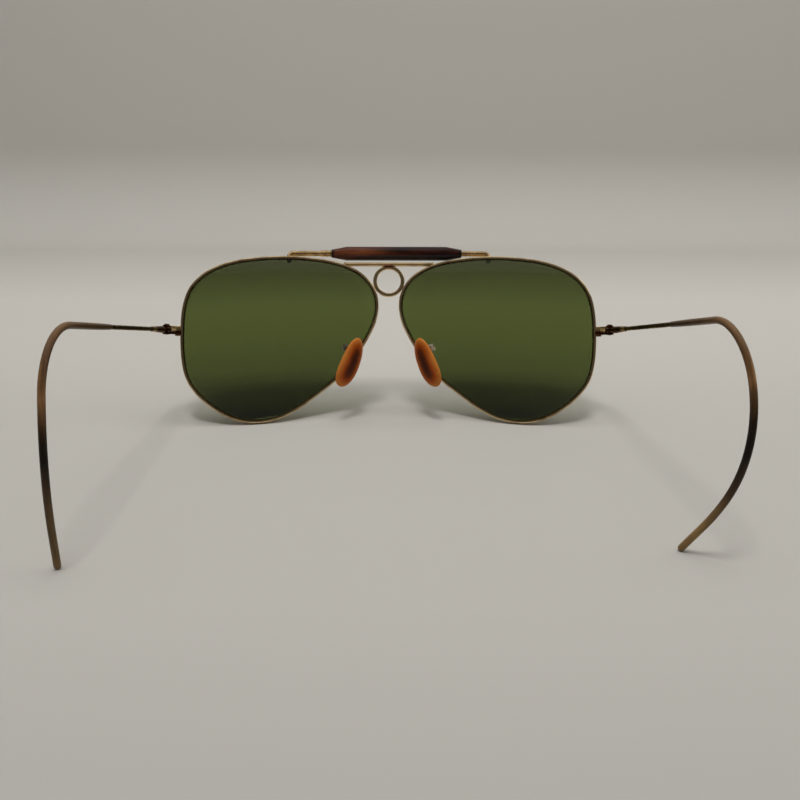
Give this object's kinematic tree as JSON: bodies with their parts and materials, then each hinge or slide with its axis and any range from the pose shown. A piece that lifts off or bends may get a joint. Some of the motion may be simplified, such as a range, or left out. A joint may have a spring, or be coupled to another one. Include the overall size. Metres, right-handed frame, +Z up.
{
  "type": "teardrop sunglasses",
  "caption": "Wire-rimmed teardrop sunglasses with green glass lenses, a brow bar with a ring under it, box nose pads and folding cable temples that hook behind the ears.",
  "frame": {"origin": "middle of the small ring under the bridge bar, halfway through its depth", "axes": "+X to the wearer's right, +Y the way the wearer looks, +Z up with the open sunglasses standing on both rims and both temple tips"},
  "size_m": [0.156, 0.116, 0.0543],
  "materials": {
    "frame_gold": "polished gold-filled wire, dulled with wear",
    "lens_green": "ground and polished green mineral glass",
    "sleeve_tortoise": "glossy mottled dark red-brown sleeve",
    "hinge_gold": "gold-filled, darker in the corners",
    "screw_metal": "worn dark screw metal",
    "wire_gold": "worn gold-filled wire",
    "cable_steel": "coiled steel core, seen nowhere when assembled",
    "sheath_brown": "glossy mottled brown plastic skin",
    "tip_brown": "glossy lighter brown plastic",
    "pad_fitting": "gold-filled",
    "lug_dark": "dark stained metal",
    "pad_amber": "clear amber plastic, frosted by wear"
  },
  "bodies": {
    "front": {"left_rim": "frame_gold", "right_rim": "frame_gold", "left_lens": "lens_green", "right_lens": "lens_green", "bridge_bar": "frame_gold", "bridge_ring": "frame_gold", "brow_rod": "frame_gold", "brow_sleeve": "sleeve_tortoise", "brow_collar": "frame_gold", "left_upper_lock": "hinge_gold", "right_upper_lock": "hinge_gold", "left_lower_lock": "hinge_gold", "right_lower_lock": "hinge_gold", "left_closing_screw": "screw_metal", "right_closing_screw": "screw_metal", "left_hinge_screw": "screw_metal", "right_hinge_screw": "screw_metal", "left_pad_arm": "pad_fitting", "right_pad_arm": "pad_fitting", "left_pad_box": "pad_fitting", "right_pad_box": "pad_fitting", "left_pad_pin": "pad_fitting", "right_pad_pin": "pad_fitting"},
    "left_temple": {"left_temple_root": "hinge_gold", "left_temple_wire": "wire_gold", "left_cable": "cable_steel", "left_sheath": "sheath_brown", "left_tip": "tip_brown"},
    "right_temple": {"right_temple_root": "hinge_gold", "right_temple_wire": "wire_gold", "right_cable": "cable_steel", "right_sheath": "sheath_brown", "right_tip": "tip_brown"},
    "left_pad": {"left_pad_lug": "lug_dark", "left_nose_pad": "pad_amber"},
    "right_pad": {"right_pad_lug": "lug_dark", "right_nose_pad": "pad_amber"}
  },
  "joints": [
    {"name": "left_temple_fold", "type": "hinge", "parent": "front", "child": "left_temple", "pos_m": [-0.07033, -0.01233, -0.01298], "axis": [0, 0.342, 0.9397], "range_deg": [0, 87]},
    {"name": "right_temple_fold", "type": "hinge", "parent": "front", "child": "right_temple", "pos_m": [0.07033, -0.01233, -0.01298], "axis": [0, -0.342, -0.9397], "range_deg": [0, 84.5]},
    {"name": "left_pad_rock", "type": "hinge", "parent": "front", "child": "left_pad", "pos_m": [-0.01309, -0.01094, -0.01949], "axis": [-0.5708, -0.6616, 0.4862], "range_deg": [-10, 10]},
    {"name": "right_pad_rock", "type": "hinge", "parent": "front", "child": "right_pad", "pos_m": [0.01309, -0.01094, -0.01949], "axis": [0.5708, -0.6616, 0.4862], "range_deg": [-10, 10]}
  ]
}
